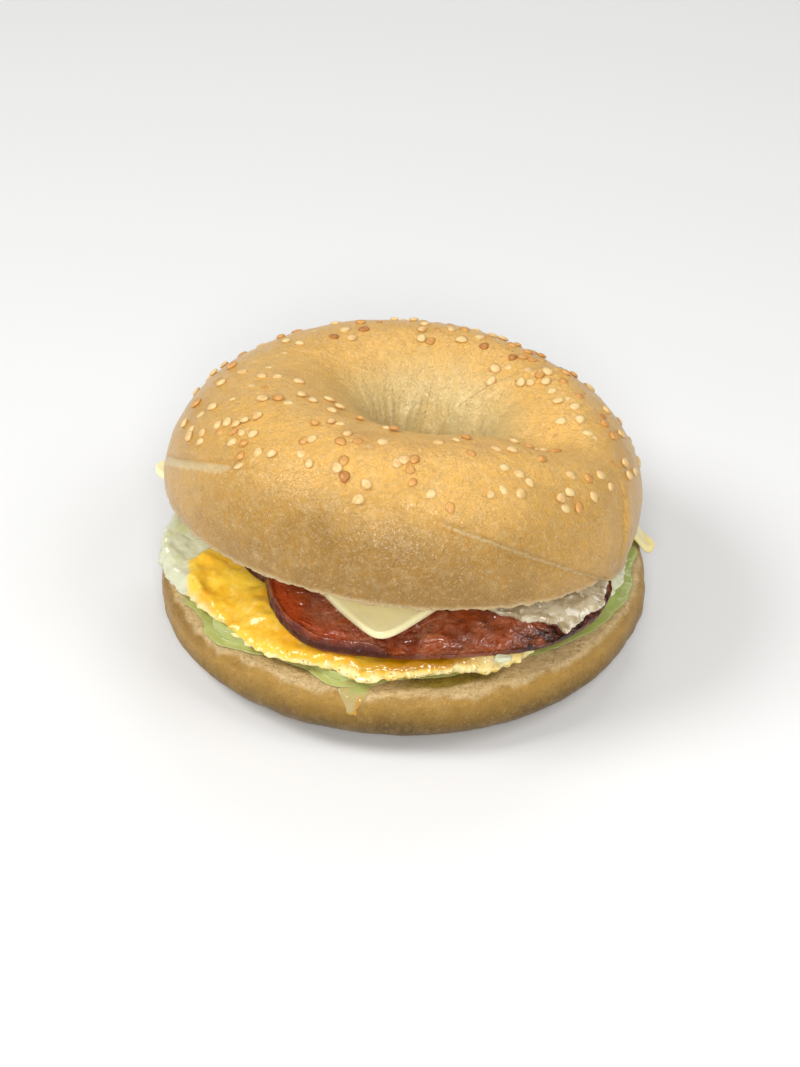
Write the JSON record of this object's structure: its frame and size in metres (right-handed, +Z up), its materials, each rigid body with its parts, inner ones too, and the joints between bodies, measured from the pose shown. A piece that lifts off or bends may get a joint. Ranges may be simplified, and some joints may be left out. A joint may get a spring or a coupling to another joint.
{
  "type": "filled bagel sandwich",
  "caption": "Seeded bagel cut in half and filled with green spread, fried egg, back bacon and sliced cheese, its top half tilted open at the front.",
  "frame": {"origin": "on the surface that the bagel stands on, under the middle of the box round it", "axes": "+Z up; the side that gapes open, where the filling shows, faces -Y; +X to the right of someone who looks at it"},
  "size_m": [0.1212, 0.124, 0.0719],
  "materials": {
    "bottom_crust": "baked dough, pale golden crust with a soft sheen",
    "top_crust": "baked dough, golden crust with a satin sheen and sesame seeds",
    "spread": "moist green spread with herb specks",
    "egg": "fried egg, yellow and moist, white at its left end",
    "bacon": "fried back bacon, red-brown and glossy with a dark rim",
    "cheese": "sliced cheese, pale yellow and waxy",
    "egg_white": "cooked egg white, cloudy and moist"
  },
  "bodies": {
    "root": {"bottom_half": "bottom_crust", "spread": "spread", "fried_egg": "egg", "bacon_back_slice": "bacon", "bacon_front_slice": "bacon", "cheese_slice": "cheese", "egg_white_flap": "egg_white", "top_half": "top_crust"}
  },
  "joints": []
}
